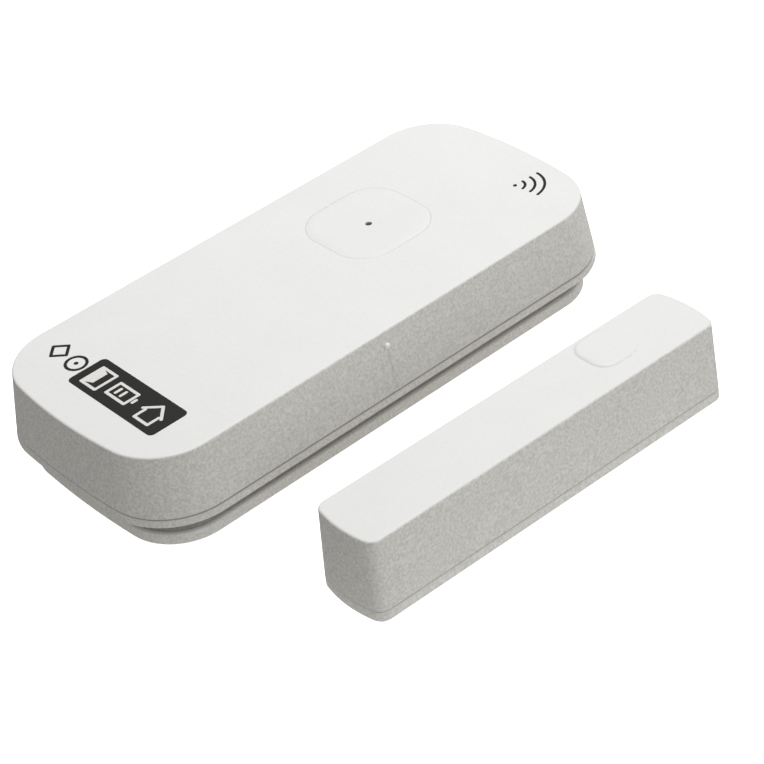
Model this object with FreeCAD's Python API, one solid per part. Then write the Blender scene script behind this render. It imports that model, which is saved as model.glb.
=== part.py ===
"""Door contact sensor: a battery sensor unit with its wall plate, and its separate magnet unit.

Frame: X runs along the long sides, Y across, Z up away from the door frame.
The origin is the centre of the sensor's adhesive face, which lies in the plane z = 0.
All lengths are in millimetres.
"""

import FreeCAD, Part
import math
import os

# ---------------------------------------------------------------- driving dimensions
sensor_length = 78.0
sensor_width = 36.3
sensor_height = 13.83
sensor_corner_radius = 9.56
sensor_end_radius = 136.6
top_corner_radius = 8.33
top_end_radius = 73.9
side_taper = 1.37
end_taper = 1.02
shell_wall = 1.5
roof_thickness = 1.5
crease_radius = 0.3

pad_thickness = 0.5
plate_bottom = 0.15
plate_edge_radius = 0.25
plate_pad_margin = 2.4
pad_clearance = 0.1
plate_top = 1.60
plate_inset = 1.95
cell_pocket_floor = 1.2
floor_bottom = 1.65
floor_top = 2.85
band_bottom = 4.4
band_top = 5.24
seam_gap = 0.2
seam_chamfer = 0.12
neck_inset = 2.5
neck_wall = 0.9
tongue_top = 6.1
tongue_wall = 0.8
fit_gap = 0.1

tab_places = [-18.0, 2.0]
tab_rows = [-12.6, 13.95]
tab_length = 5.0
tab_wall = 0.9
tab_top = 4.6
tab_end_room = 0.2
tab_side_room = 0.12

cell_diameter = 10.2
cell_length = 44.2
cell_nub_length = 0.9
cell_nub_radius = 1.9
cell_centre_z = 6.55
cell_1_y = 7.4
cell_2_y = -3.4
contact_sheet = 0.3
bridge_x = -35.6
end_contact_x = 11.0
tail_x = 12.8
tail_width = 1.6
positive_tail_y = 7.4
negative_tail_y = -3.4
spring_height = 1.8
spring_wire_radius = 0.24
spring_wide_radius = 2.3
spring_narrow_radius = 1.3
spring_end_room = 0.03
spring_turns = 3.0
bay_min_y = -8.8
bay_max_y = 12.9
bay_min_x = -34.7
bay_wall_top = 9.3
bay_wall = 0.9
bay_side_wall = 0.6
bay_far_wall = 0.55
bay_far_wall_start = -30.0
bay_step_y = 9.3
bridge_wall = 0.45
bridge_wall_min_y = -8.0
bridge_wall_max_y = 10.4
bridge_notch_min_y = -6.0
bridge_notch_drop = 2.7

board_bottom = 6.2
board_top = 7.2
board_screw_places = [(26.0, -12.6), (-24.5, -12.6)]
board_rest_places = [(31.0, 9.6), (14.4, -12.0)]
board_rest_radius = 1.2
case_screw_places = [(32.6, -8.0), (15.0, 12.1), (-30.8, -11.8)]
case_screw_radius = 1.1
case_boss_radius = 2.3
case_boss_bottom = 3.85
cup_inset = 0.3
case_head_radius = 1.95
case_head_top = 2.95
case_head_height = 1.2
case_screw_tip = 10.2
board_screw_radius = 1.0
board_head_radius = 1.8
board_post_radius = 1.9

button_x = 13.25
button_y = 2.67
button_flat = 12.2
button_corner_radius = 3.8
button_skirt = 1.1
button_rise = 0.1
button_gap = 0.03
button_flange = 0.7
flange_room = 0.4
button_flange_bottom = 12.25
button_flange_top = 12.93
button_recess_bottom = 11.8
button_recess_top = 13.0
button_leg_radius = 1.4
button_wall = 1.3
led_x = 13.05
led_y = 2.35
led_hole_radius = 0.42
light_pipe_radius = 0.7
light_pipe_bottom = 8.3
light_pipe_shoulder = 13.28
tact_x = 16.7
tact_y = 0.6
tact_size = 4.5
tact_top = 10.5
plunger_radius = 1.2
plunger_top = 11.5
plunger_bottom = 10.0

wifi_min_x = 19.6
wifi_max_x = 34.4
wifi_min_y = -4.6
wifi_max_y = 12.7
wifi_board_top = 8.0
wifi_shield_top = 10.2
wifi_shield_wall = 0.25
capacitor_x = 12.6
capacitor_y = -12.7
capacitor_top = 11.6
capacitor_radius = 2.4
capacitor_half_seat = 2.5
chip_x = 20.0
chip_y = -10.5

cell_rib_y = 2.0
cell_rib_wall = 0.3
cell_rib_bottom = 9.2
cell_rib_end = 4.5

reed_x = -1.4
reed_y = -12.8
reed_z = 8.6
reed_glass_radius = 1.1
reed_glass_length = 14.0
reed_bore_radius = 0.78
reed_lead_radius = 0.25
reed_lead_reach = 10.0
reed_blade_length = 5.6
reed_blade_thickness = 0.2
reed_blade_width = 0.9
reed_gap = 0.12

mark_x = -1.39
mark_bottom = 5.95
mark_top = 11.34
mark_width = 0.34
mark_depth = 0.06
mark_dot_radius = 0.42
mark_dot_rise = 0.2

magnet_x = 0.38
magnet_y = -38.65
magnet_yaw = -1.32
magnet_length = 56.5
magnet_width = 10.86
magnet_height = 11.62
magnet_end_radius = 18.0
magnet_corner_radius = 1.6
magnet_side_taper = 0.35
magnet_end_taper = 0.5
magnet_wall = 1.2
magnet_seam = 1.59
magnet_seam_gap = 0.1
magnet_crease_radius = 0.3
magnet_base_chamfer = 0.15
magnet_rim_top = 3.2
magnet_rim_gap = 0.35
magnet_rim_wall = 0.8
magnet_pad_inset = 1.6
bar_length = 25.0
bar_width = 6.0
bar_height = 5.0
bar_bottom = 3.6
bar_x = -1.8
thumb_pad_x = 14.9
thumb_pad_y = 1.2
thumb_pad_length = 5.8
thumb_pad_width = 5.7
thumb_pad_corner_radius = 1.9
thumb_pad_skirt = 0.55
thumb_pad_rise = 0.2

# ---------------------------------------------------------------- values worked out from them
band_height = sensor_height - band_bottom
roof_bottom = sensor_height - roof_thickness
shell_bottom = band_top + seam_gap
neck_inner_inset = neck_inset + neck_wall
cell_radius = cell_diameter / 2.0
can_length = cell_length - cell_nub_length
button_top = sensor_height + button_rise
magnet_cover_bottom = magnet_seam + magnet_seam_gap / 2.0
magnet_base_top = magnet_seam - magnet_seam_gap / 2.0
magnet_roof_bottom = magnet_height - magnet_wall


def vec(x, y, z):
    return FreeCAD.Vector(x, y, z)


def box(x0, x1, y0, y1, z0, z1):
    """A block between two corners."""
    return Part.makeBox(x1 - x0, y1 - y0, z1 - z0, vec(x0, y0, z0))


def rod(x, y, z0, z1, radius):
    """An upright cylinder."""
    return Part.makeCylinder(radius, z1 - z0, vec(x, y, z0))


def rod_along_x(x0, x1, y, z, radius):
    """A cylinder that lies along X."""
    return Part.makeCylinder(radius, x1 - x0, vec(x0, y, z), vec(1, 0, 0))


def outline(half_length, half_width, corner_radius, end_radius, z):
    """Closed plan outline: straight long sides, round corners and bowed ends."""
    end_centre = half_length - end_radius
    turn = math.asin((half_width - corner_radius) / (end_radius - corner_radius))
    corner_x = end_centre + (end_radius - corner_radius) * math.cos(turn)
    corner_y = half_width - corner_radius

    def corner(sign_x, sign_y, angle):
        """Point of a corner arc, with the angle counted from the X axis."""
        px = sign_x * (corner_x + corner_radius * math.cos(angle))
        py = sign_y * (corner_y + corner_radius * math.sin(angle))
        return vec(px, py, z)

    half_turn = (turn + math.pi / 2.0) / 2.0
    right = Part.Arc(corner(1, -1, turn), vec(half_length, 0, z), corner(1, 1, turn))
    back_right = Part.Arc(corner(1, 1, turn), corner(1, 1, half_turn), corner(1, 1, math.pi / 2.0))
    back = Part.LineSegment(corner(1, 1, math.pi / 2.0), corner(-1, 1, math.pi / 2.0))
    back_left = Part.Arc(corner(-1, 1, math.pi / 2.0), corner(-1, 1, half_turn), corner(-1, 1, turn))
    left = Part.Arc(corner(-1, 1, turn), vec(-half_length, 0, z), corner(-1, -1, turn))
    front_left = Part.Arc(corner(-1, -1, turn), corner(-1, -1, half_turn), corner(-1, -1, math.pi / 2.0))
    front = Part.LineSegment(corner(-1, -1, math.pi / 2.0), corner(1, -1, math.pi / 2.0))
    front_right = Part.Arc(corner(1, -1, math.pi / 2.0), corner(1, -1, half_turn), corner(1, -1, turn))
    sides = [right, back_right, back, back_left, left, front_left, front, front_right]
    return Part.Wire([side.toShape() for side in sides])


def sensor_outline(z, inset):
    """The sensor's tapered outline at a height, drawn in by an inset."""
    rise = max(0.0, (z - band_bottom) / band_height)
    half_length = sensor_length / 2.0 - end_taper * rise - inset
    half_width = sensor_width / 2.0 - side_taper * rise - inset
    corner_radius = sensor_corner_radius + (top_corner_radius - sensor_corner_radius) * rise - inset
    end_bow = (1.0 - rise) / sensor_end_radius + rise / top_end_radius
    return outline(half_length, half_width, corner_radius, 1.0 / end_bow - inset, z)


def sensor_block(z0, z1, inset):
    """A solid that fills the sensor's outline between two heights."""
    return Part.makeLoft([sensor_outline(z0, inset), sensor_outline(z1, inset)], True, True)


def magnet_outline(z, inset):
    """The magnet unit's tapered outline at a height, in its own frame."""
    rise = max(0.0, (z - magnet_seam) / (magnet_height - magnet_seam))
    half_length = magnet_length / 2.0 - magnet_end_taper * rise - inset
    half_width = magnet_width / 2.0 - magnet_side_taper * rise - inset
    corner_radius = max(0.4, magnet_corner_radius - inset)
    return outline(half_length, half_width, corner_radius, magnet_end_radius - inset, z)


def magnet_block(z0, z1, inset):
    """A solid that fills the magnet unit's outline between two heights."""
    return Part.makeLoft([magnet_outline(z0, inset), magnet_outline(z1, inset)], True, True)


def seam_edge(outline_at, edge_z, full_z):
    """The thin layer at a seam, whose outline is drawn in by a small chamfer at the seam itself."""
    low_z = min(edge_z, full_z)
    high_z = max(edge_z, full_z)
    low_inset = seam_chamfer if low_z == edge_z else 0.0
    high_inset = seam_chamfer - low_inset
    return Part.makeLoft([outline_at(low_z, low_inset), outline_at(high_z, high_inset)], True, True)


def top_edges(shape, z):
    """The edges that lie in the level plane at a height."""
    found = []
    for edge in shape.Edges:
        bounds = edge.BoundBox
        if abs(bounds.ZMin - z) < 1e-4 and abs(bounds.ZMax - z) < 1e-4:
            found.append(edge)
    return found


def rounded_block(x, y, half_x, half_y, corner_radius, z0, z1):
    """An upright block about a centre, with round corners in plan."""
    block = box(x - half_x, x + half_x, y - half_y, y + half_y, z0, z1)
    upright = [edge for edge in block.Edges if edge.BoundBox.ZLength > 1e-3]
    return block.makeFillet(corner_radius, upright)


def soft_pad(x, y, half_x, half_y, corner_radius, skirt, rise, bottom, top):
    """A pad, flat in the middle, that falls by its rise over a skirt all round."""
    reach = (skirt * skirt + rise * rise) / (2.0 * rise)
    root = top - reach - 0.5
    pad = rounded_block(x, y, half_x + reach, half_y + reach, corner_radius + reach, root, top)
    pad = pad.makeFillet(reach, top_edges(pad, top))
    far = half_x + half_y + 2.0 * reach
    return pad.cut(box(x - far, x + far, y - far, y + far, root - 1.0, bottom))


def coil(wide_radius, narrow_radius, height):
    """A conical coil along +Z that starts at the origin's level with its wide end, made of short arcs."""
    steps = int(spring_turns * 8)
    points = []
    for step in range(steps + 1):
        share = step / steps
        turn = 2.0 * math.pi * spring_turns * share
        radius = wide_radius + (narrow_radius - wide_radius) * share
        points.append(vec(radius * math.cos(turn), radius * math.sin(turn), height * share))
    arcs = [Part.Arc(*points[start:start + 3]).toShape() for start in range(0, steps - 1, 2)]
    start_tangent = arcs[0].tangentAt(arcs[0].FirstParameter)
    section = Part.Wire(Part.makeCircle(spring_wire_radius, points[0], start_tangent))
    return Part.Wire(arcs).makePipeShell([section], True, True)


def screw(x, y, head_bottom, head_height, head_radius, shank_radius, tip, up):
    """A pan-head screw whose shank runs up or down from its head to a tip height."""
    head_top = head_bottom + head_height
    head = rod(x, y, head_bottom, head_top, head_radius)
    if up:
        shank = rod(x, y, head_top, tip, shank_radius)
        slot_z = head_bottom
    else:
        shank = rod(x, y, tip, head_bottom, shank_radius)
        slot_z = head_top
    head = head.makeFillet(head_height * 0.4, top_edges(head, slot_z))
    arm = head_radius * 0.55
    width = head_radius * 0.14
    depth = head_height * 0.5
    cross = box(x - arm, x + arm, y - width, y + width, slot_z - depth, slot_z + depth)
    cross = cross.fuse(box(x - width, x + width, y - arm, y + arm, slot_z - depth, slot_z + depth))
    return head.fuse(shank).cut(cross)


# ---------------------------------------------------------------- wall side
def wall_plate():
    """The plate that stays on the door frame, with four upright locating tabs."""
    plate = sensor_block(plate_bottom, plate_top, plate_inset)
    plate = plate.makeFillet(plate_edge_radius, top_edges(plate, plate_top))
    recess = sensor_block(plate_bottom - 1.0, pad_thickness, plate_inset + plate_pad_margin)
    cell_pocket = box(bay_min_x - 0.1, end_contact_x, bay_min_y, bay_max_y,
                      cell_pocket_floor, plate_top + 1.0)
    plate = plate.cut(recess).cut(cell_pocket)
    for x in tab_places:
        for y in tab_rows:
            tab = box(x - tab_length / 2.0, x + tab_length / 2.0,
                      y - tab_wall / 2.0, y + tab_wall / 2.0, plate_top - 0.6, tab_top)
            plate = plate.fuse(tab)
    return plate.removeSplitter()


def wall_plate_pad():
    """The foam adhesive pad in the recess under the wall plate."""
    return sensor_block(0.0, pad_thickness, plate_inset + plate_pad_margin + pad_clearance)


def tab_slots():
    """The openings that take the wall plate's tabs."""
    slots = []
    for x in tab_places:
        for y in tab_rows:
            half_x = tab_length / 2.0 + tab_end_room
            half_y = tab_wall / 2.0 + tab_side_room
            slot = box(x - half_x, x + half_x, y - half_y, y + half_y, floor_bottom - 0.5, floor_top + 0.5)
            slots.append(slot)
    return slots


# ---------------------------------------------------------------- sensor casing
def top_shell():
    """The tapered cover with the button hole, screw bosses and cell rib."""
    outer = sensor_block(shell_bottom + seam_chamfer, sensor_height, 0.0)
    outer = outer.makeFillet(crease_radius, top_edges(outer, sensor_height))
    outer = outer.fuse(seam_edge(sensor_outline, shell_bottom, shell_bottom + seam_chamfer))
    shell = outer.cut(sensor_block(shell_bottom - 1.0, roof_bottom, shell_wall))
    inner = sensor_block(case_boss_bottom, roof_bottom + 0.2, shell_wall - 0.2)
    for x, y in case_screw_places:
        boss = rod(x, y, case_boss_bottom, roof_bottom + 0.2, case_boss_radius)
        shell = shell.fuse(boss.common(inner))
    shell = shell.fuse(box(bay_min_x + 4.0, cell_rib_end, cell_rib_y - cell_rib_wall / 2.0,
                           cell_rib_y + cell_rib_wall / 2.0, cell_rib_bottom, roof_bottom + 0.2))
    shell = shell.cut(button_outline(button_flange + flange_room, button_recess_bottom, button_recess_top))
    shell = shell.cut(button_outline(button_gap, button_recess_top - 0.5, button_top + 1.0))
    for x, y in case_screw_places:
        shell = shell.cut(rod(x, y, case_boss_bottom - 0.5, case_screw_tip + 0.4, case_screw_radius))
    return shell.cut(side_mark_line()).fuse(side_mark_dot()).removeSplitter()


def button_outline(outset, z0, z1):
    """An upright block with the button's outline, grown by an outset."""
    half = button_flat / 2.0 + button_skirt + outset
    corner_radius = button_corner_radius + button_skirt + outset
    return rounded_block(button_x, button_y, half, half, corner_radius, z0, z1)


def mark_face_y(z):
    """Where the tapered side that faces the magnet lies at a height."""
    return -sensor_width / 2.0 + side_taper * (z - band_bottom) / band_height


def side_mark_line():
    """The shallow upright alignment line on the side that faces the magnet."""
    tilt = math.degrees(math.atan(side_taper / band_height))
    height = mark_top - mark_bottom
    line = box(-mark_width / 2.0, mark_width / 2.0, -1.0, mark_depth, 0.0, height)
    line.rotate(vec(0, 0, 0), vec(1, 0, 0), -tilt)
    line.translate(vec(mark_x, mark_face_y(mark_bottom), mark_bottom))
    return line


def side_mark_dot():
    """The raised dot above the alignment line."""
    dot_z = mark_top + mark_dot_radius
    dot_y = mark_face_y(dot_z) + mark_dot_radius - mark_dot_rise
    return Part.makeSphere(mark_dot_radius, vec(mark_x, dot_y, dot_z))


def rear_shell():
    """The closing shell: flush band, tongue, neck, floor, battery bay walls and posts."""
    band = sensor_block(band_bottom, band_top - seam_chamfer, 0.0)
    band = band.fuse(seam_edge(sensor_outline, band_top, band_top - seam_chamfer))
    neck = sensor_block(floor_bottom, band_bottom, neck_inset)
    hollow = sensor_block(floor_bottom - 1.0, band_top + 1.0, neck_inner_inset)
    tongue = sensor_block(band_top - 0.2, tongue_top, shell_wall + fit_gap)
    tongue = tongue.cut(sensor_block(band_top - 1.0, tongue_top + 1.0, shell_wall + fit_gap + tongue_wall))
    floor = sensor_block(floor_bottom, floor_top, neck_inner_inset - 0.2)
    shell = band.fuse(neck).cut(hollow).fuse(floor).fuse(tongue)
    bay = sensor_block(floor_bottom - 1.0, band_bottom, neck_inner_inset)
    shell = shell.cut(bay.common(box(bay_min_x, end_contact_x, bay_min_y, bay_max_y, 0.0, floor_top + 0.5)))
    end_wall_x = end_contact_x + bay_wall
    near_wall = box(bay_min_x - 0.2, end_wall_x, bay_min_y - bay_side_wall, bay_min_y,
                    floor_bottom, bay_wall_top)
    end_wall = box(end_contact_x, end_wall_x, bay_min_y, bay_step_y, floor_bottom, bay_wall_top)
    low_end_wall = box(end_contact_x, end_wall_x, bay_step_y, bay_max_y, floor_bottom, board_bottom)
    far_wall = box(bay_far_wall_start, end_wall_x, bay_max_y, bay_max_y + bay_far_wall,
                   floor_bottom, bay_wall_top)
    bridge_stop = box(bridge_x - bridge_wall, bridge_x, bridge_wall_min_y, bridge_wall_max_y,
                      band_bottom, bay_wall_top)
    walls = near_wall.fuse([end_wall, low_end_wall, far_wall, bridge_stop])
    shell = shell.fuse(walls.common(sensor_block(floor_bottom, roof_bottom, shell_wall + 0.15)))
    shell = shell.cut(box(bridge_x, bridge_x + 2.0, bridge_notch_min_y, bridge_wall_max_y,
                          cell_centre_z - bridge_notch_drop, bay_wall_top + 1.0))
    for x, y in board_screw_places:
        shell = shell.fuse(rod(x, y, floor_top - 0.2, board_bottom, board_post_radius))
    for x, y in board_rest_places:
        shell = shell.fuse(rod(x, y, floor_top - 0.2, board_bottom, board_rest_radius))
    for x, y in case_screw_places:
        cup = rod(x, y, floor_bottom, case_boss_bottom - 0.05, case_head_radius + 0.75)
        shell = shell.fuse(cup.common(sensor_block(floor_bottom, band_bottom, neck_inset + cup_inset)))
    for x, y in case_screw_places:
        shell = shell.cut(rod(x, y, floor_bottom - 0.5, case_head_top, case_head_radius + 0.1))
        shell = shell.cut(rod(x, y, floor_bottom - 0.5, case_boss_bottom + 0.2, case_screw_radius + 0.1))
    for x, y in board_screw_places:
        shell = shell.cut(rod(x, y, 3.3, board_bottom + 0.5, board_screw_radius))
    for slot in tab_slots():
        shell = shell.cut(slot)
    return shell.removeSplitter()


def case_screws():
    """Three screws that hold the two shells together from behind."""
    return Part.makeCompound([
        screw(x, y, case_head_top - case_head_height, case_head_height, case_head_radius,
              case_screw_radius - 0.01, case_screw_tip, True)
        for x, y in case_screw_places
    ])


# ---------------------------------------------------------------- button
def button_cap():
    """The raised soft-cornered cap with its flange, its leg and the pinhole of the status light."""
    half = button_flat / 2.0
    pad = soft_pad(button_x, button_y, half, half, button_corner_radius, button_skirt, button_rise,
                   button_flange_top - 0.2, button_top)
    cap = pad.common(button_outline(0.0, button_flange_bottom, button_top + 1.0))
    cap = cap.fuse(button_outline(button_flange, button_flange_bottom, button_flange_top))
    room = button_outline(-button_wall, button_flange_bottom - 0.5, button_recess_top + 0.1)
    room = room.cut(rod(led_x, led_y, button_flange_bottom - 1.0, button_top, light_pipe_radius + 0.8))
    room = room.cut(rod(tact_x, tact_y, button_flange_bottom - 1.0, button_top, button_leg_radius))
    cap = cap.cut(room)
    cap = cap.fuse(rod(tact_x, tact_y, plunger_top, button_recess_top, button_leg_radius))
    pipe_bore = light_pipe_radius + 0.03
    cap = cap.cut(rod(led_x, led_y, button_flange_bottom - 1.0, light_pipe_shoulder + 0.02, pipe_bore))
    pinhole = rod(led_x, led_y, button_recess_top, button_top + 1.0, led_hole_radius + 0.03)
    return cap.cut(pinhole).removeSplitter()


def light_pipe():
    """The clear rod that carries the status light up to the pinhole."""
    pipe = rod(led_x, led_y, light_pipe_bottom, light_pipe_shoulder, light_pipe_radius)
    collar_top = button_flange_bottom - 0.02
    pipe = pipe.fuse(rod(led_x, led_y, collar_top - 0.35, collar_top, light_pipe_radius + 0.4))
    tip = rod(led_x, led_y, light_pipe_shoulder - 0.1, button_top - 0.2, led_hole_radius)
    return pipe.fuse(tip).removeSplitter()


def tact_switch():
    """The switch body under the cap, with the bore that guides its plunger."""
    half = tact_size / 2.0
    body = box(tact_x - half, tact_x + half, tact_y - half, tact_y + half, board_top, tact_top)
    upright = [edge for edge in body.Edges if edge.BoundBox.ZLength > 1.0]
    body = body.makeChamfer(0.4, upright)
    body = body.cut(rod(tact_x, tact_y, 9.4, tact_top + 1.0, plunger_radius + 0.05))
    for side_x in (-1, 1):
        for side_y in (-1, 1):
            foot_x = tact_x + side_x * (half - 1.0)
            foot_y = tact_y + side_y * (half + 0.35)
            body = body.fuse(box(foot_x - 0.35, foot_x + 0.35, foot_y - 0.4, foot_y + 0.4,
                                 board_top, board_top + 0.25))
    return body


def tact_plunger():
    """The round plunger that the cap's leg presses."""
    plunger = rod(tact_x, tact_y, plunger_bottom, plunger_top, plunger_radius)
    rim = [edge for edge in plunger.Edges if abs(edge.BoundBox.ZMin - plunger_top) < 1e-6]
    return plunger.makeFillet(0.2, rim)


# ---------------------------------------------------------------- circuit boards
def main_board():
    """The circuit board: a wide part under the button and an arm along the magnet side."""
    corners = [
        (-27.5, -15.5), (29.0, -15.5), (29.0, -5.0), (34.6, -5.0), (34.6, 10.0), (31.9, 13.0),
        (18.2, 13.0), (18.2, 9.0), (12.2, 9.0), (12.2, -9.7), (-27.5, -9.7), (-27.5, -15.5),
    ]
    wire = Part.makePolygon([vec(x, y, board_bottom) for x, y in corners])
    board = Part.Face(wire).extrude(vec(0, 0, board_top - board_bottom))
    for x, y in board_screw_places:
        board = board.cut(rod(x, y, board_bottom - 1.0, board_top + 1.0, board_screw_radius + 0.15))
    for side in (-1, 1):
        board = board.cut(rod(reed_x + side * reed_lead_reach, reed_y, board_bottom - 1.0, board_top + 1.0,
                              reed_lead_radius + 0.1))
    for y in (positive_tail_y, negative_tail_y):
        board = board.cut(box(tail_x - 0.1, tail_x + contact_sheet + 0.1, y - tail_width / 2.0 - 0.1,
                              y + tail_width / 2.0 + 0.1, board_bottom - 1.0, board_top + 1.0))
    return board


def board_screws():
    """Two screws that hold the main board to its posts."""
    return Part.makeCompound([
        screw(x, y, board_top, 1.2, board_head_radius, board_screw_radius - 0.01, 3.4, False)
        for x, y in board_screw_places
    ])


def wifi_board():
    """The radio module's own board, with half-round pads along its long edges and a clipped corner."""
    board = box(wifi_min_x, wifi_max_x, wifi_min_y, wifi_max_y, board_top, wifi_board_top)
    outer_corner = [edge for edge in board.Edges
                    if edge.BoundBox.XMin > wifi_max_x - 0.1 and edge.BoundBox.YMin > wifi_max_y - 0.1]
    board = board.makeChamfer(3.0, outer_corner)
    for index in range(6):
        y = wifi_min_y + 1.4 + 2.0 * index
        for x in (wifi_min_x, wifi_max_x):
            board = board.cut(rod(x, y, board_top - 0.5, wifi_board_top + 0.5, 0.4))
    return board


def wifi_shield():
    """The thin metal can over the radio chip."""
    centre_x = (wifi_min_x + wifi_max_x) / 2.0
    centre_y = wifi_min_y + 6.25
    half_x = (wifi_max_x - wifi_min_x) / 2.0 - 1.5
    half_y = 5.25
    wall = wifi_shield_wall
    outer = rounded_block(centre_x, centre_y, half_x, half_y, 0.6, wifi_board_top, wifi_shield_top)
    outer = outer.makeFillet(0.2, top_edges(outer, wifi_shield_top))
    inner = box(centre_x - half_x + wall, centre_x + half_x - wall, centre_y - half_y + wall,
                centre_y + half_y - wall, wifi_board_top - 1.0, wifi_shield_top - wall)
    return outer.cut(inner)


def control_chip():
    """The low-power controller that wakes the radio: a flat square package with legs on two sides."""
    chip = box(chip_x - 2.0, chip_x + 2.0, chip_y - 2.0, chip_y + 2.0, board_top + 0.1, board_top + 1.2)
    for index in range(5):
        y = chip_y - 1.6 + 0.8 * index
        for side in (-1, 1):
            x = chip_x + side * 2.35
            chip = chip.fuse(box(x - 0.45, x + 0.45, y - 0.15, y + 0.15, board_top, board_top + 0.25))
    return chip


def buffer_capacitor():
    """The round can capacitor that carries the radio's current peaks."""
    seat_top = board_top + 0.6
    can = rod(capacitor_x, capacitor_y, seat_top, capacitor_top, capacitor_radius)
    rim = [edge for edge in can.Edges if abs(edge.BoundBox.ZMin - capacitor_top) < 1e-6]
    can = can.makeFillet(0.35, rim)
    seat = box(capacitor_x - capacitor_half_seat, capacitor_x + capacitor_half_seat,
               capacitor_y - capacitor_half_seat, capacitor_y + capacitor_half_seat, board_top, seat_top)
    return can.fuse(seat)


def status_led():
    """The small light under the light pipe."""
    return box(led_x - 0.4, led_x + 0.4, led_y - 0.8, led_y + 0.8, board_top, board_top + 0.6)


# ---------------------------------------------------------------- reed switch
def reed_capsule():
    """The sealed glass tube, hollow along its middle and solid at both ends."""
    start = reed_x - reed_glass_length / 2.0
    end = reed_x + reed_glass_length / 2.0
    tube = rod_along_x(start, end, reed_y, reed_z, reed_glass_radius)
    tube = tube.makeFillet(0.7, [edge for edge in tube.Edges if edge.BoundBox.XLength < 1e-6])
    tube = tube.cut(rod_along_x(start + 1.2, end - 1.2, reed_y, reed_z, reed_bore_radius))
    return tube.cut(rod_along_x(start - 1.0, end + 1.0, reed_y, reed_z, reed_lead_radius + 0.01))


def reed_leads():
    """Both wire leads with their bends, and the fixed blade on the +X one."""
    seal = reed_glass_length / 2.0 - 1.2
    parts = []
    for side in (-1, 1):
        inner_x = reed_x + side * (seal - 0.1)
        outer_x = reed_x + side * reed_lead_reach
        along = rod_along_x(min(inner_x, outer_x), max(inner_x, outer_x), reed_y, reed_z, reed_lead_radius)
        down = rod(outer_x, reed_y, board_bottom - 0.6, reed_z, reed_lead_radius)
        knuckle = Part.makeSphere(reed_lead_radius, vec(outer_x, reed_y, reed_z))
        parts.append(along.fuse(down).fuse(knuckle))
    half = reed_blade_width / 2.0
    blade_z = reed_z - reed_blade_thickness / 2.0
    parts[1] = parts[1].fuse(box(reed_x - 0.8, reed_x + seal - 0.02, reed_y - half, reed_y + half,
                                 blade_z, blade_z + reed_blade_thickness))
    return Part.makeCompound(parts)


def reed_moving_blade():
    """The springy blade that the magnet pulls against the fixed one."""
    half = reed_blade_width / 2.0
    start = reed_x - reed_glass_length / 2.0 + 1.35
    bottom = reed_z + reed_blade_thickness / 2.0 + reed_gap
    blade = box(start, start + reed_blade_length, reed_y - half, reed_y + half,
                bottom, bottom + reed_blade_thickness)
    return blade


# ---------------------------------------------------------------- batteries and their contacts
def cell(can_start, y, nub_side):
    """An AAA cell along X: the can with its rolled ends and the nub on one end."""
    can = rod_along_x(can_start, can_start + can_length, y, cell_centre_z, cell_radius)
    can = can.makeFillet(0.5, [edge for edge in can.Edges if edge.BoundBox.XLength < 1e-6])
    if nub_side > 0:
        nub_start = can_start + can_length - 0.1
        nub = rod_along_x(nub_start, nub_start + cell_nub_length + 0.1, y, cell_centre_z, cell_nub_radius)
    else:
        nub = rod_along_x(can_start - cell_nub_length, can_start + 0.1, y, cell_centre_z, cell_nub_radius)
    return can.fuse(nub).removeSplitter()


cell_1_start = bridge_x + contact_sheet + spring_height
cell_2_start = bridge_x + contact_sheet + cell_nub_length + 0.02


def battery_cell_1():
    """The cell on the far side, with its nub towards the board."""
    return cell(cell_1_start, cell_1_y, 1)


def battery_cell_2():
    """The cell beside it, the other way round."""
    return cell(cell_2_start, cell_2_y, -1)


def battery_bridge():
    """The sheet that joins both cells at the far end of the bay."""
    sheet = box(bridge_x, bridge_x + contact_sheet, -5.8, 10.2, 4.5, bay_wall_top - 0.1)
    corners = [edge for edge in sheet.Edges if edge.BoundBox.XLength > 0.1]
    return sheet.makeFillet(0.9, corners)


def board_end_contact(y, tail_y):
    """A contact sheet at the board end of the bay, whose tail goes over the bay wall into the board."""
    x0 = end_contact_x - contact_sheet
    sheet = box(x0, end_contact_x, y - 3.4, y + 3.4, 3.6, bay_wall_top - 0.1)
    corners = [edge for edge in sheet.Edges if edge.BoundBox.XLength > 0.1]
    sheet = sheet.makeFillet(0.9, corners)
    low_y = tail_y - tail_width / 2.0
    high_y = tail_y + tail_width / 2.0
    tail_z = bay_wall_top + 0.05
    tail_end = tail_x + contact_sheet
    sheet = sheet.fuse(box(x0, end_contact_x, low_y, high_y, bay_wall_top - 1.0, tail_z + contact_sheet))
    sheet = sheet.fuse(box(x0, tail_end, low_y, high_y, tail_z, tail_z + contact_sheet))
    return sheet.fuse(box(tail_x, tail_end, low_y, high_y, board_bottom - 0.5, tail_z + contact_sheet))


def positive_contact():
    """The flat contact that the first cell's nub presses."""
    return board_end_contact(cell_1_y, positive_tail_y)


def negative_contact():
    """The contact behind the second cell's spring."""
    return board_end_contact(cell_2_y, negative_tail_y)


def battery_springs():
    """Two conical coil springs, one per cell, with the wide end on the sheet."""
    stand_off = spring_wire_radius + spring_end_room
    first = coil(spring_wide_radius, spring_narrow_radius, spring_height - 2.0 * stand_off)
    second = first.copy()
    first.rotate(vec(0, 0, 0), vec(0, 1, 0), 90)
    first.translate(vec(bridge_x + contact_sheet + stand_off, cell_1_y, cell_centre_z))
    second.rotate(vec(0, 0, 0), vec(0, 1, 0), -90)
    second.translate(vec(end_contact_x - contact_sheet - stand_off, cell_2_y, cell_centre_z))
    return Part.makeCompound([first, second])


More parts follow.
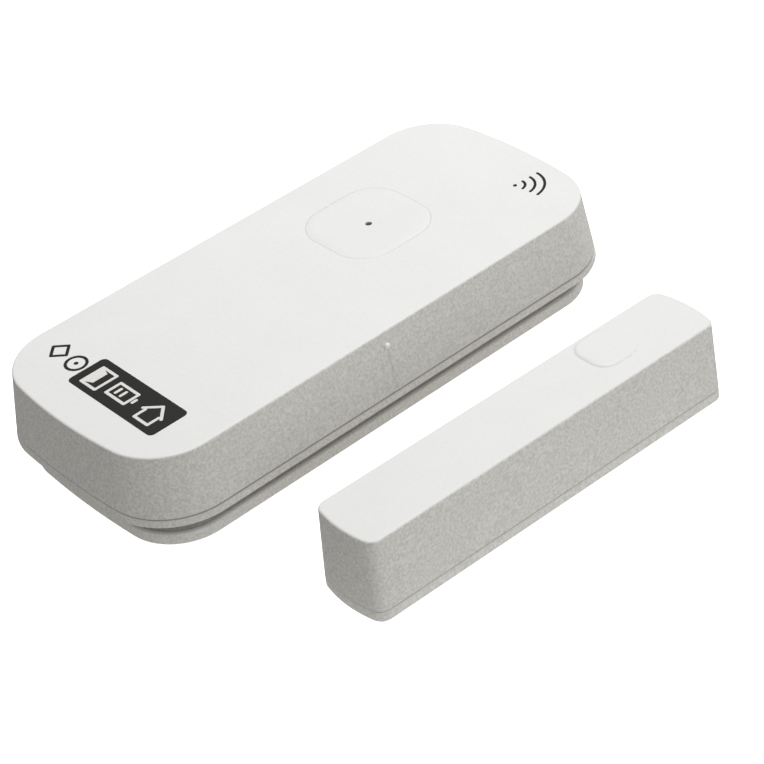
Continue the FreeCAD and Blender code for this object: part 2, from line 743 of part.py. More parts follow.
# ---------------------------------------------------------------- magnet unit
def place_magnet(shape):
    """Moves a shape from the magnet unit's own frame to its place beside the sensor."""
    placed = shape.copy()
    placed.rotate(vec(0, 0, 0), vec(0, 0, 1), magnet_yaw)
    placed.translate(vec(magnet_x, magnet_y, 0))
    return placed


def thumb_pad():
    """The soft raised pad on the magnet cover, cut off along the cover's rear side."""
    pad = soft_pad(thumb_pad_x, thumb_pad_y, thumb_pad_length / 2.0, thumb_pad_width / 2.0,
                   thumb_pad_corner_radius, thumb_pad_skirt, thumb_pad_rise,
                   magnet_height - 0.3, magnet_height + thumb_pad_rise)
    room = Part.Face(magnet_outline(magnet_height, magnet_crease_radius)).extrude(vec(0, 0, 2.0))
    room.translate(vec(0, 0, -1.0))
    return pad.common(room)


def magnet_cover():
    """The slim cover with the pocket walls that hold the bar magnet."""
    outer = magnet_block(magnet_cover_bottom + seam_chamfer, magnet_height, 0.0)
    outer = outer.makeFillet(magnet_crease_radius, top_edges(outer, magnet_height))
    outer = outer.fuse(seam_edge(magnet_outline, magnet_cover_bottom, magnet_cover_bottom + seam_chamfer))
    cover = outer.fuse(thumb_pad())
    cover = cover.cut(magnet_block(magnet_cover_bottom - 1.0, magnet_roof_bottom, magnet_wall))
    inner = magnet_block(bar_bottom, magnet_roof_bottom + 0.2, magnet_wall - 0.2)
    reach = bar_length / 2.0 + 0.1
    for side in (-1, 1):
        x0 = bar_x + side * reach
        x1 = x0 + side * 1.0
        wall = box(min(x0, x1), max(x0, x1), -6.0, 6.0, bar_bottom, magnet_roof_bottom + 0.2)
        cover = cover.fuse(wall.common(inner))
    for place in (-8.0, 0.0, 8.0):
        rib = box(bar_x + place - 0.5, bar_x + place + 0.5, -6.0, 6.0, bar_bottom + bar_height + 0.02,
                  magnet_roof_bottom + 0.2)
        cover = cover.fuse(rib.common(inner))
    for side in (-1, 1):
        y0 = side * (bar_width / 2.0 + 0.08)
        for place in (-8.0, 8.0):
            rib = box(bar_x + place - 0.5, bar_x + place + 0.5, min(y0, side * 6.0), max(y0, side * 6.0),
                      bar_bottom, magnet_roof_bottom + 0.2)
            cover = cover.fuse(rib.common(inner))
    return cover.removeSplitter()


def magnet_base():
    """The base plate of the magnet unit with its locating rim."""
    plate = magnet_block(plate_bottom, magnet_base_top - seam_chamfer, 0.0)
    plate = plate.makeChamfer(magnet_base_chamfer, top_edges(plate, plate_bottom))
    plate = plate.fuse(seam_edge(magnet_outline, magnet_base_top, magnet_base_top - seam_chamfer))
    rim_inset = magnet_wall + magnet_rim_gap
    rim = magnet_block(magnet_base_top - 0.2, magnet_rim_top, rim_inset)
    rim = rim.cut(magnet_block(magnet_base_top - 1.0, magnet_rim_top + 1.0, rim_inset + magnet_rim_wall))
    recess = magnet_block(plate_bottom - 1.0, pad_thickness, magnet_pad_inset)
    return plate.fuse(rim).cut(recess).removeSplitter()


def magnet_pad():
    """The foam adhesive pad under the magnet unit."""
    return magnet_block(0.0, pad_thickness, magnet_pad_inset + pad_clearance)


def bar_magnet():
    """The bar magnet in the cover."""
    bar = box(bar_x - bar_length / 2.0, bar_x + bar_length / 2.0, -bar_width / 2.0, bar_width / 2.0,
              bar_bottom, bar_bottom + bar_height)
    return bar.makeChamfer(0.3, bar.Edges)


def magnet_foam():
    """The foam strip that presses the bar magnet up into its pocket."""
    return box(bar_x - 11.0, bar_x + 11.0, -2.4, 2.4, magnet_base_top + 0.05, bar_bottom - 0.03)


# ---------------------------------------------------------------- writing every piece to its own file
sensor_parts = [
    wall_plate, wall_plate_pad, top_shell, rear_shell, case_screws, button_cap, light_pipe, tact_switch,
    tact_plunger, main_board, board_screws, wifi_board, wifi_shield, control_chip, buffer_capacitor,
    status_led, reed_capsule, reed_leads, reed_moving_blade, battery_cell_1, battery_cell_2,
    battery_bridge, positive_contact, negative_contact, battery_springs,
]
magnet_parts = [magnet_cover, magnet_base, magnet_pad, bar_magnet, magnet_foam]

os.makedirs("parts", exist_ok=True)
for make in sensor_parts:
    make().exportStep("parts/" + make.__name__ + ".step")
for make in magnet_parts:
    place_magnet(make()).exportStep("parts/" + make.__name__ + ".step")
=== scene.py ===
"""Door contact sensor: materials, printed marks, stage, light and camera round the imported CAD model.

All lengths in this script are in metres. MM turns millimetres into metres.
"""
import math

import bmesh
import bpy
from mathutils import Matrix, Vector


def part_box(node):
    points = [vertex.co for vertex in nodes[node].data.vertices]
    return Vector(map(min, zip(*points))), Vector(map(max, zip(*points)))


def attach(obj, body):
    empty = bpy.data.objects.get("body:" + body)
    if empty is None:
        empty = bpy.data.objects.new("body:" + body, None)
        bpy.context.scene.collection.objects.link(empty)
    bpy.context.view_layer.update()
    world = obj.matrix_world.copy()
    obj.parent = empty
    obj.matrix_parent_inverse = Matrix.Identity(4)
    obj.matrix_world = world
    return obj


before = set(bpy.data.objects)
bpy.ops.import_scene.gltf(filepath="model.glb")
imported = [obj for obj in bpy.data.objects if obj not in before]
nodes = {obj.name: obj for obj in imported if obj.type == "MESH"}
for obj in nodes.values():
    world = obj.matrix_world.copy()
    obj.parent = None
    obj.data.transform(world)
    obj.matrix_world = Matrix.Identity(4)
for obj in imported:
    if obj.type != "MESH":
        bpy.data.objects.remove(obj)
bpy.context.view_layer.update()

MM = 0.001

# ---------------------------------------------------------------- node helpers
# Most of a noise's values lie between LOW_NOISE and HIGH_NOISE. How far a face's normal points up or down
# says whether the face is level or steep.
LOW_NOISE = 0.3
HIGH_NOISE = 0.7
LEVEL_NORMAL = 0.95
STEEP_NORMAL = 0.45


class Surface:
    """A material with one Principled shader, and short calls for the nodes that feed it."""

    def __init__(self, name, roughness, metallic=0.0):
        self.material = bpy.data.materials.new(name)
        self.material.use_nodes = True
        self.tree = self.material.node_tree
        self.shader = self.tree.nodes["Principled BSDF"]
        self.shader.inputs["Roughness"].default_value = roughness
        self.shader.inputs["Metallic"].default_value = metallic
        self.place = self.tree.nodes.new("ShaderNodeTexCoord").outputs["Object"]

    def set(self, name, value):
        """Sets one of the shader's own sockets."""
        self.shader.inputs[name].default_value = value

    def link(self, source, target):
        """Feeds one socket into another."""
        self.tree.links.new(source, target)

    def noise(self, size, detail=2.0, stretch=None):
        """Noise whose features are about size metres across. stretch scales the axes."""
        node = self.tree.nodes.new("ShaderNodeTexNoise")
        node.inputs["Scale"].default_value = 1.0 / size
        node.inputs["Detail"].default_value = detail
        self.link(self.stretched(stretch), node.inputs["Vector"])
        return node.outputs["Fac"]

    def cells(self, size, feature="F1"):
        """Voronoi cells about size metres across."""
        node = self.tree.nodes.new("ShaderNodeTexVoronoi")
        node.feature = feature
        node.inputs["Scale"].default_value = 1.0 / size
        self.link(self.place, node.inputs["Vector"])
        return node.outputs["Distance"]

    def stretched(self, stretch):
        """The object coordinates, scaled along each axis if stretch is given."""
        if stretch is None:
            return self.place
        node = self.tree.nodes.new("ShaderNodeMapping")
        node.inputs["Scale"].default_value = stretch
        self.link(self.place, node.inputs["Vector"])
        return node.outputs["Vector"]

    def steepness(self):
        """1 on upright faces and 0 on level ones."""
        node = self.tree.nodes.new("ShaderNodeSeparateXYZ")
        facing = self.tree.nodes.new("ShaderNodeTexCoord").outputs["Normal"]
        self.link(facing, node.inputs["Vector"])
        return self.fit(self.math("ABSOLUTE", node.outputs["Z"]), STEEP_NORMAL, LEVEL_NORMAL, 1.0, 0.0)

    def along(self, axis):
        """One of the object coordinates, in metres."""
        node = self.tree.nodes.new("ShaderNodeSeparateXYZ")
        self.link(self.place, node.inputs["Vector"])
        return node.outputs[axis]

    def math(self, operation, first, second=0.0):
        """A sum, product or the like of numbers or sockets."""
        node = self.tree.nodes.new("ShaderNodeMath")
        node.operation = operation
        for socket, value in zip(node.inputs, (first, second)):
            if isinstance(value, (int, float)):
                socket.default_value = value
            else:
                self.link(value, socket)
        return node.outputs[0]

    def fit(self, value, low, high, new_low, new_high):
        """value, moved from the range low to high into the range new_low to new_high."""
        node = self.tree.nodes.new("ShaderNodeMapRange")
        self.link(value, node.inputs["Value"])
        for socket, number in zip(list(node.inputs)[1:5], (low, high, new_low, new_high)):
            socket.default_value = number
        return node.outputs["Result"]

    def mix(self, share, first, second):
        """Two colours mixed by share. A colour is a tuple or a socket."""
        node = self.tree.nodes.new("ShaderNodeMix")
        node.data_type = "RGBA"
        self.link(share, node.inputs["Factor"])
        for socket, colour in zip((node.inputs[6], node.inputs[7]), (first, second)):
            if isinstance(colour, tuple):
                socket.default_value = (*colour, 1.0)
            else:
                self.link(colour, socket)
        return node.outputs[2]

    def multiply(self, first, second):
        """The product of two colour sockets."""
        node = self.tree.nodes.new("ShaderNodeMix")
        node.data_type = "RGBA"
        node.blend_type = "MULTIPLY"
        node.inputs["Factor"].default_value = 1.0
        self.link(first, node.inputs[6])
        self.link(second, node.inputs[7])
        return node.outputs[2]

    def colour(self, socket):
        """Feeds the shader's base colour."""
        self.link(socket, self.shader.inputs["Base Color"])

    def roughness(self, socket):
        """Feeds the shader's roughness."""
        self.link(socket, self.shader.inputs["Roughness"])

    def bump(self, height, depth, below=None):
        """Surface relief of depth metres, on top of the relief below."""
        node = self.tree.nodes.new("ShaderNodeBump")
        node.inputs["Strength"].default_value = 1.0
        node.inputs["Distance"].default_value = depth
        self.link(height, node.inputs["Height"])
        if below is not None:
            self.link(below, node.inputs["Normal"])
        self.link(node.outputs["Normal"], self.shader.inputs["Normal"])
        return node.outputs["Normal"]


# ---------------------------------------------------------------- materials
WHITE = (1.0, 1.0, 1.0)
# The neck colour below darkens the rear shell under NECK_TOP: painted shade for the recess under the
# band.
NECK_PAINTED_SHADE = (0.4, 0.39, 0.37)
NECK_TOP = 4.4 * MM
SPECKLE_DARK = (0.87, 0.857, 0.818)
SPECKLE_LIGHT = (1.07, 1.058, 1.017)
FLECK_LOW = 0.35
FLECK_HIGH = 0.65
NECK_BLEND = 0.05 * MM
PLASTIC_GRAIN = 0.36 * MM
PLASTIC_RELIEF = 0.006 * MM
PEBBLE_GRAIN = 1.7 * PLASTIC_GRAIN
PEBBLE_RELIEF = 0.7 * PLASTIC_RELIEF
FINE_SHARE = 0.7
WIDE_SHARE = 0.3
PLASTIC_ROUGHNESS = 0.48
CLOUD_SIZE = 9.0 * MM
PORE_SIZE = 0.25 * MM
TRACK_PITCH = 1.3 * MM
MODULE_PITCH = 0.9 * MM
METAL_GRAIN = 0.3 * MM
METAL_RELIEF = 0.002 * MM
BAND_LENGTH = 9.0 * MM
NEAR_STEEL = 1.7 * MM
FAR_STEEL = 1.0 * MM


def moulded_plastic(name, light, dark, neck_top=None):
    """Satin moulded plastic: flecked on upright faces, and plain on level ones.

    If neck_top is given, everything below that height is darkened: painted shade for the shadowed recess
    under the band.
    """
    surface = Surface(name, PLASTIC_ROUGHNESS)
    fine = surface.noise(PLASTIC_GRAIN, 3.0)
    wide = surface.noise(CLOUD_SIZE, 2.0)
    fine_part = surface.math("MULTIPLY", fine, FINE_SHARE)
    tone = surface.math("ADD", fine_part, surface.math("MULTIPLY", wide, WIDE_SHARE))
    flecks = surface.fit(fine, FLECK_LOW, FLECK_HIGH, 0.0, 1.0)
    speckle = surface.mix(flecks, SPECKLE_DARK, SPECKLE_LIGHT)
    plain = surface.mix(surface.fit(tone, LOW_NOISE, HIGH_NOISE, 0.0, 1.0), dark, light)
    tinted = surface.multiply(plain, surface.mix(surface.steepness(), WHITE, speckle))
    # Painted shade: below neck_top the colour is multiplied by the neck colour, standing in for the
    # shadow in the recess under the band.
    if neck_top is not None:
        above_painted_shade = surface.fit(surface.along("Z"), neck_top - NECK_BLEND, neck_top, 0.0, 1.0)
        tinted = surface.multiply(tinted, surface.mix(above_painted_shade, NECK_PAINTED_SHADE, WHITE))
    surface.colour(tinted)
    surface.roughness(surface.fit(wide, LOW_NOISE, HIGH_NOISE, PLASTIC_ROUGHNESS - 0.04,
                                  PLASTIC_ROUGHNESS + 0.05))
    grain_relief = surface.bump(fine, PLASTIC_RELIEF)
    surface.bump(surface.cells(PEBBLE_GRAIN, "SMOOTH_F1"), PEBBLE_RELIEF, below=grain_relief)
    surface.set("IOR", 1.47)
    surface.set("Specular IOR Level", 0.28)
    return surface.material


def foam(name, light, dark):
    """Closed-cell foam: small round pores with a dry surface."""
    surface = Surface(name, 0.85)
    pores = surface.cells(PORE_SIZE)
    cloudy = surface.noise(3.0 * MM, 3.0)
    surface.colour(surface.mix(surface.fit(pores, 0.0, 0.7, 0.0, 1.0), dark, light))
    surface.roughness(surface.fit(cloudy, LOW_NOISE, HIGH_NOISE, 0.78, 0.95))
    surface.bump(pores, 0.05 * MM)
    return surface.material


def shade_dark_acrylic():
    """The clear rod, coloured near black: painted shade of the dark inside of the case that it is seen
    against.
    """
    surface = Surface("light_pipe_acrylic", 0.12)
    cloudy = surface.noise(0.4 * MM)
    # Near-black colour: painted shade standing in for the dark inside of the case behind the clear rod.
    surface.colour(surface.mix(cloudy, (0.05, 0.045, 0.037), (0.085, 0.076, 0.062)))
    surface.roughness(surface.fit(cloudy, LOW_NOISE, HIGH_NOISE, 0.08, 0.18))
    surface.set("IOR", 1.49)
    return surface.material


def circuit_board(name, mask, copper, pitch):
    """Solder mask over copper: tracks show as slightly raised, slightly paler lines."""
    surface = Surface(name, 0.3)
    brick = surface.tree.nodes.new("ShaderNodeTexBrick")
    brick.inputs["Scale"].default_value = 1.0 / (pitch * 4.0)
    brick.inputs["Mortar Size"].default_value = 0.05
    brick.inputs["Brick Width"].default_value = 0.9
    brick.inputs["Row Height"].default_value = 0.24
    surface.link(surface.place, brick.inputs["Vector"])
    tracks = brick.outputs["Fac"]
    weave = surface.noise(0.5 * MM, 2.0)
    surface.colour(surface.mix(tracks, mask, copper))
    surface.roughness(surface.fit(weave, LOW_NOISE, HIGH_NOISE, 0.22, 0.38))
    below = surface.bump(tracks, 0.02 * MM)
    surface.bump(weave, 0.003 * MM, below=below)
    surface.set("Coat Weight", 0.4)
    return surface.material


def metal(name, light, dark, roughness, stretch=None):
    """Plated or drawn metal with fine marks, drawn out along one axis if stretch is given."""
    surface = Surface(name, roughness, metallic=1.0)
    marks = surface.noise(METAL_GRAIN, 3.0, stretch)
    stains = surface.noise(2.5 * MM, 3.0)
    surface.colour(surface.mix(surface.fit(stains, LOW_NOISE, HIGH_NOISE, 0.0, 1.0), dark, light))
    surface.roughness(surface.fit(marks, LOW_NOISE, HIGH_NOISE, roughness - 0.06, roughness + 0.1))
    surface.bump(marks, METAL_RELIEF)
    return surface.material


def dark_plastic(name):
    """Black moulded component plastic with a dull fine grain."""
    surface = Surface(name, 0.5)
    fine = surface.noise(0.12 * MM, 3.0)
    surface.colour(surface.mix(fine, (0.012, 0.012, 0.013), (0.035, 0.035, 0.036)))
    surface.roughness(surface.fit(fine, LOW_NOISE, HIGH_NOISE, 0.42, 0.6))
    surface.bump(fine, 0.006 * MM)
    return surface.material


def tinted_glass():
    """Green glass of the reed capsule, with faint draw lines along its length."""
    surface = Surface("reed_glass", 0.04)
    lines = surface.noise(0.2 * MM, 2.0, (0.05, 1.0, 1.0))
    surface.colour(surface.mix(lines, (0.62, 0.86, 0.74), (0.75, 0.93, 0.84)))
    surface.roughness(surface.fit(lines, LOW_NOISE, HIGH_NOISE, 0.02, 0.08))
    surface.bump(lines, 0.002 * MM)
    surface.set("Transmission Weight", 0.9)
    surface.set("IOR", 1.5)
    return surface.material


def cell_sleeve(name, nub_side):
    """Shrink sleeve of a cell: a grey body, a green band by the nub and steel at both ends."""
    surface = Surface(name, 0.25)
    low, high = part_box(name)
    nub = high.x if nub_side > 0 else low.x
    distance = surface.math("ABSOLUTE", surface.math("SUBTRACT", surface.along("X"), nub))
    far = high.x - low.x - FAR_STEEL
    band = surface.math("LESS_THAN", distance, BAND_LENGTH)
    near_end = surface.math("LESS_THAN", distance, NEAR_STEEL)
    far_end = surface.math("GREATER_THAN", distance, far)
    bare = surface.math("MAXIMUM", near_end, far_end)
    scuffs = surface.noise(0.8 * MM, 4.0, (0.25, 1.0, 1.0))
    worn = surface.fit(scuffs, FLECK_LOW, FLECK_HIGH, 0.0, 1.0)
    sleeve = surface.mix(worn, (0.30, 0.31, 0.33), (0.36, 0.37, 0.39))
    printed = surface.mix(band, sleeve, (0.03, 0.22, 0.12))
    surface.colour(surface.mix(bare, printed, (0.62, 0.61, 0.58)))
    surface.link(bare, surface.shader.inputs["Metallic"])
    surface.roughness(surface.fit(scuffs, LOW_NOISE, HIGH_NOISE, 0.2, 0.36))
    surface.bump(scuffs, 0.004 * MM)
    return surface.material


def printed_ink(name, colour, shade):
    """Pad-printed ink: a thin dull film with pinholes and uneven cover."""
    surface = Surface(name, 0.55)
    cover = surface.noise(0.15 * MM, 4.0)
    surface.colour(surface.mix(surface.fit(cover, LOW_NOISE, HIGH_NOISE, 0.0, 1.0), colour, shade))
    surface.roughness(surface.fit(cover, LOW_NOISE, HIGH_NOISE, 0.48, 0.66))
    surface.bump(cover, 0.004 * MM)
    surface.set("Specular IOR Level", 0.2)
    return surface.material


def lamp_plastic():
    """The milky lens of the status light."""
    surface = Surface("led_lens", 0.3)
    cloudy = surface.noise(0.3 * MM, 3.0)
    surface.colour(surface.mix(cloudy, (0.85, 0.8, 0.5), (0.92, 0.9, 0.72)))
    surface.roughness(surface.fit(cloudy, LOW_NOISE, HIGH_NOISE, 0.25, 0.4))
    surface.bump(cloudy, 0.01 * MM)
    return surface.material


def paint(node_names, material):
    """Gives CAD nodes a material in place of their own."""
    for name in node_names:
        slots = nodes[name].material_slots
        for slot in slots:
            slot.material = material
        if not slots:
            nodes[name].data.materials.append(material)


white = moulded_plastic("shell_plastic", (0.83, 0.832, 0.83), (0.79, 0.792, 0.79))
paint(["top_shell", "button_cap", "magnet_cover"], white)
# The rear shell's plastic is darkened below NECK_TOP: painted shade in the recess under the band.
rear_white = moulded_plastic("rear_plastic", (0.85, 0.845, 0.835), (0.80, 0.795, 0.785), NECK_TOP)
paint(["rear_shell"], rear_white)
plate_white = moulded_plastic("plate_plastic", (0.87, 0.865, 0.855), (0.83, 0.825, 0.815))
paint(["wall_plate", "magnet_base"], plate_white)
paint(["wall_plate_pad", "magnet_pad"], foam("adhesive_foam", (0.74, 0.73, 0.70), (0.5, 0.49, 0.46)))
paint(["magnet_foam"], foam("retaining_foam", (0.16, 0.16, 0.17), (0.06, 0.06, 0.065)))
paint(["light_pipe"], shade_dark_acrylic())
paint(["main_board"], circuit_board("board_mask", (0.01, 0.13, 0.055), (0.02, 0.2, 0.09), TRACK_PITCH))
paint(["wifi_board"],
      circuit_board("module_mask", (0.008, 0.02, 0.06), (0.015, 0.04, 0.1), MODULE_PITCH))
paint(["wifi_shield"],
      metal("tinned_shield", (0.72, 0.72, 0.71), (0.6, 0.6, 0.59), 0.32, (1.0, 0.08, 1.0)))
paint(["tact_switch", "tact_plunger", "control_chip"], dark_plastic("component_plastic"))
paint(["case_screws", "board_screws"], metal("zinc_screws", (0.62, 0.63, 0.65), (0.48, 0.49, 0.5), 0.34))
paint(["buffer_capacitor"],
      metal("can_aluminium", (0.78, 0.78, 0.79), (0.68, 0.68, 0.69), 0.3, (1.0, 1.0, 0.1)))
paint(["status_led"], lamp_plastic())
paint(["reed_capsule"], tinted_glass())
paint(["reed_leads", "reed_moving_blade"],
      metal("tinned_wire", (0.75, 0.74, 0.71), (0.6, 0.59, 0.56), 0.3))
paint(["battery_bridge", "positive_contact", "negative_contact", "battery_springs"],
      metal("nickel_contacts", (0.74, 0.72, 0.67), (0.6, 0.58, 0.53), 0.2))
paint(["bar_magnet"], metal("nickel_magnet", (0.66, 0.66, 0.65), (0.5, 0.5, 0.5), 0.22))
paint(["battery_cell_1"], cell_sleeve("battery_cell_1", 1))
paint(["battery_cell_2"], cell_sleeve("battery_cell_2", -1))

# ---------------------------------------------------------------- printed marks
INK_THICKNESS = 0.02 * MM
INK_STEP = 0.0005 * MM
SHELL_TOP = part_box("top_shell")[1].z
ARC_STEPS = 24
END_STEPS = 8
ROUND_END_STEPS = 10
CORNER_STEPS = 6
ROUND_SIDES = 24


def ride_sensor(name, shape, materials):
    """Makes a piece of a bmesh, which is used up, and lets it ride the sensor."""
    mesh = bpy.data.meshes.new(name)
    shape.to_mesh(mesh)
    shape.free()
    for material in materials:
        mesh.materials.append(material)
    piece = bpy.data.objects.new(name, mesh)
    bpy.context.scene.collection.objects.link(piece)
    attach(piece, "sensor")


def printed_piece(name, shapes, base, material):
    """Flat shapes of ink on the plane z = base. A shape is a loop of (x, y) points.

    Each shape is INK_STEP thicker than the one before, so that crossing strokes don't share a top face.
    """
    film = bmesh.new()
    for index, shape in enumerate(shapes):
        top = base + INK_THICKNESS + index * INK_STEP
        low = [film.verts.new((x, y, base)) for x, y in shape]
        high = [film.verts.new((x, y, top)) for x, y in shape]
        film.faces.new(high)
        film.faces.new(reversed(low))
        count = len(shape)
        for here in range(count):
            after = (here + 1) % count
            film.faces.new((low[here], low[after], high[after], high[here]))
    ride_sensor(name, film, [material])


def arc(centre, radius, start, stop, steps):
    """Points along an arc, with its angles in degrees."""
    turns = [math.radians(start + (stop - start) * step / steps) for step in range(steps + 1)]
    return [(centre[0] + radius * math.cos(turn), centre[1] + radius * math.sin(turn)) for turn in turns]


def disc(centre, radius):
    """The rim of a disc."""
    return arc(centre, radius, 0, 360, ROUND_SIDES)[:-1]


def curved_stroke(centre, radius, start, stop, width):
    """An arc-shaped stroke with round ends."""
    half = width / 2
    outer = arc(centre, radius + half, start, stop, ARC_STEPS)
    inner = arc(centre, radius - half, stop, start, ARC_STEPS)
    far_end = arc(arc(centre, radius, stop, stop, 1)[0], half, stop, stop + 180, END_STEPS)
    near_end = arc(arc(centre, radius, start, start, 1)[0], half, start + 180, start + 360, END_STEPS)
    return outer + far_end[1:-1] + inner + near_end[1:-1]


def straight_stroke(start, stop, width):
    """A straight stroke with round ends."""
    turn = math.degrees(math.atan2(stop[1] - start[1], stop[0] - start[0]))
    start_end = arc(start, width / 2, turn + 90, turn + 270, ROUND_END_STEPS)
    stop_end = arc(stop, width / 2, turn - 90, turn + 90, ROUND_END_STEPS)
    return start_end + stop_end


def rounded_rectangle(low, high, radius):
    """A rectangle with round corners, from its low corner to its high corner."""
    inner_low = (low[0] + radius, low[1] + radius)
    inner_high = (high[0] - radius, high[1] - radius)
    return (
        arc((inner_high[0], inner_low[1]), radius, -90, 0, CORNER_STEPS)
        + arc(inner_high, radius, 0, 90, CORNER_STEPS)
        + arc((inner_low[0], inner_high[1]), radius, 90, 180, CORNER_STEPS)
        + arc(inner_low, radius, 180, 270, CORNER_STEPS)
    )


def outline_strokes(corners, width, closed=True):
    """Straight strokes from corner to corner, and back to the first one if closed."""
    ends = corners[1:] + corners[:1] if closed else corners[1:]
    return [straight_stroke(start, stop, width) for start, stop in zip(corners, ends)]


def ring(centre, radius, width):
    """A ring of two half strokes."""
    return [curved_stroke(centre, radius, 0, 180, width), curved_stroke(centre, radius, 180, 360, width)]


def label_points(*points):
    """Places on the shell, from points in millimetres along the label and up it."""
    return [(LABEL_BASE_X + up * MM, LABEL_START_Y - along * MM) for along, up in points]


dark_ink = printed_ink("dark_ink", (0.011, 0.011, 0.011), (0.021, 0.021, 0.02))
pale_ink = printed_ink("pale_ink", (0.78, 0.775, 0.76), (0.72, 0.715, 0.7))

WAVE_CENTRE = (31.17 * MM, -6.12 * MM)
WAVE_RADII = (1.32 * MM, 2.62 * MM, 3.88 * MM)
WAVE_STROKE = 0.37 * MM
WAVE_DOT_RADIUS = 0.27 * MM
WAVE_START = -85
WAVE_STOP = -3
waves = [curved_stroke(WAVE_CENTRE, radius, WAVE_START, WAVE_STOP, WAVE_STROKE) for radius in WAVE_RADII]
printed_piece("printed_wave_symbol", [disc(WAVE_CENTRE, WAVE_DOT_RADIUS)] + waves, SHELL_TOP, dark_ink)

LABEL_BASE_X = -32.5 * MM
LABEL_START_Y = 5.85 * MM
LABEL_HEIGHT = 5.4 * MM
LABEL_LENGTH = 16.55 * MM
LABEL_MARGIN = 0.22 * MM
LABEL_CORNER_RADIUS = 0.7 * MM
LABEL_STROKE = 0.42 * MM
SIGN_RING_RADIUS = 1.35 * MM
SIGN_DOT_RADIUS = 0.3 * MM
DOOR_START = 1.3
CELL_START = 5.6
HOUSE_START = 11.6
DIAMOND_START = -7.25
RING_START = -3.6


def label_field():
    """The dark field of the label."""
    low = (LABEL_BASE_X - LABEL_MARGIN, LABEL_START_Y - LABEL_LENGTH - LABEL_MARGIN)
    high = (LABEL_BASE_X + LABEL_HEIGHT + LABEL_MARGIN, LABEL_START_Y + LABEL_MARGIN)
    return rounded_rectangle(low, high, LABEL_CORNER_RADIUS)


def open_door_sign(start):
    """A door frame with its leaf ajar."""
    frame_corners = label_points((start, 0.9), (start, 4.3), (start + 2.8, 4.3), (start + 2.8, 0.9))
    leaf = label_points((start, 0.9), (start + 1.5, 1.6), (start + 1.5, 3.8), (start, 4.3))
    return outline_strokes(frame_corners, LABEL_STROKE) + [leaf]


def cell_sign(start):
    """A battery lying on its side, with two charge bars."""
    body = label_points((start, 1.5), (start, 3.8), (start + 3.6, 3.8), (start + 3.6, 1.5))
    bars = outline_strokes(label_points((start + 1.0, 2.2), (start + 1.0, 3.1)), LABEL_STROKE, False)
    bars += outline_strokes(label_points((start + 2.0, 2.2), (start + 2.0, 3.1)), LABEL_STROKE, False)
    nub = outline_strokes(label_points((start + 4.2, 2.35), (start + 4.2, 2.95)), LABEL_STROKE, False)
    return outline_strokes(body, LABEL_STROKE) + bars + nub


def house_sign(start):
    """A small house."""
    walls = label_points((start + 0.5, 2.6), (start + 0.5, 0.9), (start + 3.1, 0.9), (start + 3.1, 2.6))
    roof = label_points((start, 2.6), (start + 1.8, 4.3), (start + 3.6, 2.6))
    return outline_strokes(walls, LABEL_STROKE, False) + outline_strokes(roof, LABEL_STROKE, False)


def diamond_sign(start):
    """A small diamond."""
    corners = label_points((start, 2.8), (start + 1.4, 4.2), (start + 2.8, 2.8), (start + 1.4, 1.4))
    return outline_strokes(corners, LABEL_STROKE)


def ring_sign(start):
    """A small ring with a dot in it."""
    centre = label_points((start + 1.5, 2.6))[0]
    return ring(centre, SIGN_RING_RADIUS, LABEL_STROKE) + [disc(centre, SIGN_DOT_RADIUS)]


printed_piece("printed_label_field", [label_field()], SHELL_TOP, dark_ink)
pale_signs = open_door_sign(DOOR_START) + cell_sign(CELL_START) + house_sign(HOUSE_START)
printed_piece("printed_label_signs", pale_signs, SHELL_TOP + INK_THICKNESS, pale_ink)
dark_signs = diamond_sign(DIAMOND_START) + ring_sign(RING_START)
printed_piece("printed_outer_signs", dark_signs, SHELL_TOP, dark_ink)

# ---------------------------------------------------------------- alignment mark
SIDE_TILT = 81.7
LINE_MIDDLE = Vector((-1.39, -17.537, 8.622)) * MM
LINE_SIZE = Vector((0.33, 5.3, 0.06)) * MM
LINE_SINK = 0.06 * MM
# The groove strip's tones are darker than the shell's: painted shade in the alignment groove.
GROOVE_SHADE_PALER = (0.76, 0.755, 0.745)
GROOVE_SHADE_DARKER = (0.73, 0.725, 0.715)
DOT_PLACE = Vector((-1.39, -17.075, 11.8)) * MM
DOT_RADIUS = 0.48 * MM
DOT_RISE = 0.42 * MM
DOT_RINGS = 8


def side_frame(place):
    """A frame at a place on the side that faces the magnet: its z axis points out of the side."""
    return Matrix.Translation(place) @ Matrix.Rotation(math.radians(SIDE_TILT), 4, "X")


def alignment_line():
    """A darker strip on the floor of the side's alignment groove: painted shade in the groove."""
    shape = bmesh.new()
    sunk = side_frame(LINE_MIDDLE) @ Matrix.Translation((0.0, 0.0, -LINE_SINK))
    bmesh.ops.create_cube(shape, size=1.0, matrix=sunk @ Matrix.Diagonal((*LINE_SIZE, 1.0)))
    ride_sensor("alignment_line", shape, [moulded_plastic("groove_painted_shade", GROOVE_SHADE_PALER, GROOVE_SHADE_DARKER)])


